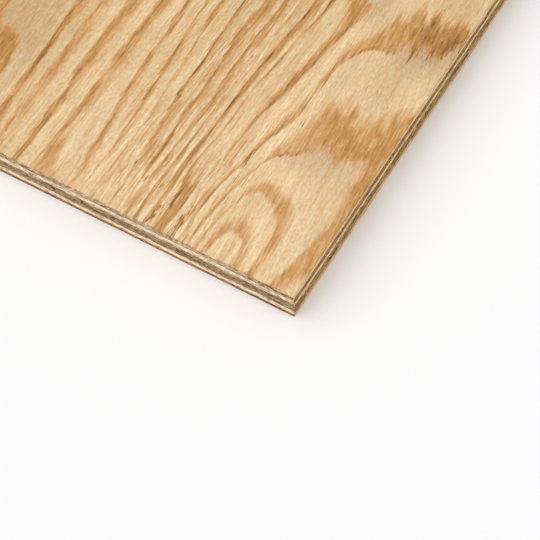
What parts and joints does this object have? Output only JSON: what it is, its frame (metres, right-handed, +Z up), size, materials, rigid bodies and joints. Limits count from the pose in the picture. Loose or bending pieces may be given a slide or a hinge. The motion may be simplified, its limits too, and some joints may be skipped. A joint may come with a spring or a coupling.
{
  "type": "plywood sheet",
  "caption": "Full-size softwood plywood sheet with cross-laminated plies showing on its square-sawn edges and a bold flat-sawn figure on its face.",
  "frame": {"origin": "middle of the underside, on the floor that the sheet lies on", "axes": "+X along the sheet and its face grain, +Y across the sheet, +Z up out of the face"},
  "size_m": [2.44, 1.22, 0.0183],
  "materials": {
    "face_veneer": "sanded bare softwood, cream earlywood and orange-tan latewood, matt to satin",
    "crossband_veneer": "sawn veneer edge, pale along the grain and olive brown on the end grain, matt",
    "centre_veneer": "sawn veneer edge, pale along the grain and olive brown on the end grain, matt",
    "back_veneer": "touch-sanded bare softwood, plainer than the face, matt"
  },
  "bodies": {
    "root": {"face_ply": "face_veneer", "upper_crossband": "crossband_veneer", "centre_ply": "centre_veneer", "lower_crossband": "crossband_veneer", "back_ply": "back_veneer"}
  },
  "joints": []
}
